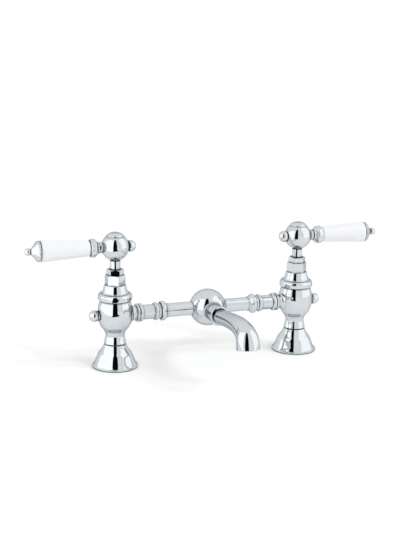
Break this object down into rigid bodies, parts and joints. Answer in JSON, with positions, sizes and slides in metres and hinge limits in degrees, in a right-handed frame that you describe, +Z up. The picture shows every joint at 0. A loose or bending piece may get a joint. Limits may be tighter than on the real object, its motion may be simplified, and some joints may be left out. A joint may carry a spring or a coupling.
{
  "type": "basin mixer tap",
  "caption": "Bridge basin mixer with bell-based pillars, hexagonal valve heads, levers with white ceramic grips, a tube bridge with a ball and a low curved spout.",
  "frame": {"origin": "on the deck, midway between the centres of the two tap holes", "axes": "+Z up from the deck; -X towards the hot pillar, +X towards the cold pillar; -Y towards the user, along the spout"},
  "size_m": [0.3834, 0.1483, 0.1896],
  "materials": {
    "polished_chrome": "polished",
    "raw_brass": "machined",
    "white_porcelain": "glossy",
    "disc_ceramic": "lapped",
    "black_rubber": "matte",
    "white_plastic": "moulded"
  },
  "bodies": {
    "fixed_tap": {"hot_base_bell": "polished_chrome", "cold_base_bell": "polished_chrome", "hot_pillar_body": "polished_chrome", "cold_pillar_body": "polished_chrome", "hot_inlet_tail": "raw_brass", "cold_inlet_tail": "raw_brass", "hot_collar_ring": "polished_chrome", "cold_collar_ring": "polished_chrome", "hot_bonnet": "polished_chrome", "cold_bonnet": "polished_chrome", "hot_gland_nut": "polished_chrome", "cold_gland_nut": "polished_chrome", "hot_valve_body": "raw_brass", "cold_valve_body": "raw_brass", "hot_fixed_disc": "disc_ceramic", "cold_fixed_disc": "disc_ceramic", "base_gaskets": "black_rubber", "clamp_washers": "black_rubber", "backnuts": "raw_brass", "seat_seals": "black_rubber", "valve_orings": "black_rubber", "gland_orings": "black_rubber", "side_finials": "polished_chrome", "union_nuts": "polished_chrome", "union_washers": "black_rubber", "hot_arm_sleeve": "polished_chrome", "cold_arm_sleeve": "polished_chrome", "arm_nuts": "polished_chrome", "arm_orings": "black_rubber", "hot_arm_tube": "polished_chrome", "cold_arm_tube": "polished_chrome", "mixer_ball": "polished_chrome", "spout_ring": "polished_chrome", "spout_oring": "black_rubber", "spout": "polished_chrome", "flow_straightener": "white_plastic"},
    "hot_lever": {"hot_moving_disc": "disc_ceramic", "hot_spindle": "raw_brass", "hot_hub_neck": "polished_chrome", "hot_lever_hub": "polished_chrome", "hot_hub_screw": "raw_brass", "hot_index_cap": "polished_chrome", "hot_lever_rod": "raw_brass", "hot_lever_collar": "polished_chrome", "hot_lever_grip": "white_porcelain", "hot_grip_washers": "black_rubber", "hot_lever_end_cap": "polished_chrome", "hot_hub_finial": "polished_chrome"},
    "cold_lever": {"cold_moving_disc": "disc_ceramic", "cold_spindle": "raw_brass", "cold_hub_neck": "polished_chrome", "cold_lever_hub": "polished_chrome", "cold_hub_screw": "raw_brass", "cold_index_cap": "polished_chrome", "cold_lever_rod": "raw_brass", "cold_lever_collar": "polished_chrome", "cold_lever_grip": "white_porcelain", "cold_grip_washers": "black_rubber", "cold_lever_end_cap": "polished_chrome", "cold_hub_finial": "polished_chrome"}
  },
  "joints": [
    {"name": "hot_lever_turn", "type": "hinge", "parent": "fixed_tap", "child": "hot_lever", "pos_m": [-0.1, 0, 0.125], "axis": [0, 0, 1], "range_deg": [0, 90]},
    {"name": "cold_lever_turn", "type": "hinge", "parent": "fixed_tap", "child": "cold_lever", "pos_m": [0.1, 0, 0.125], "axis": [0, 0, 1], "range_deg": [-90, 0]}
  ]
}
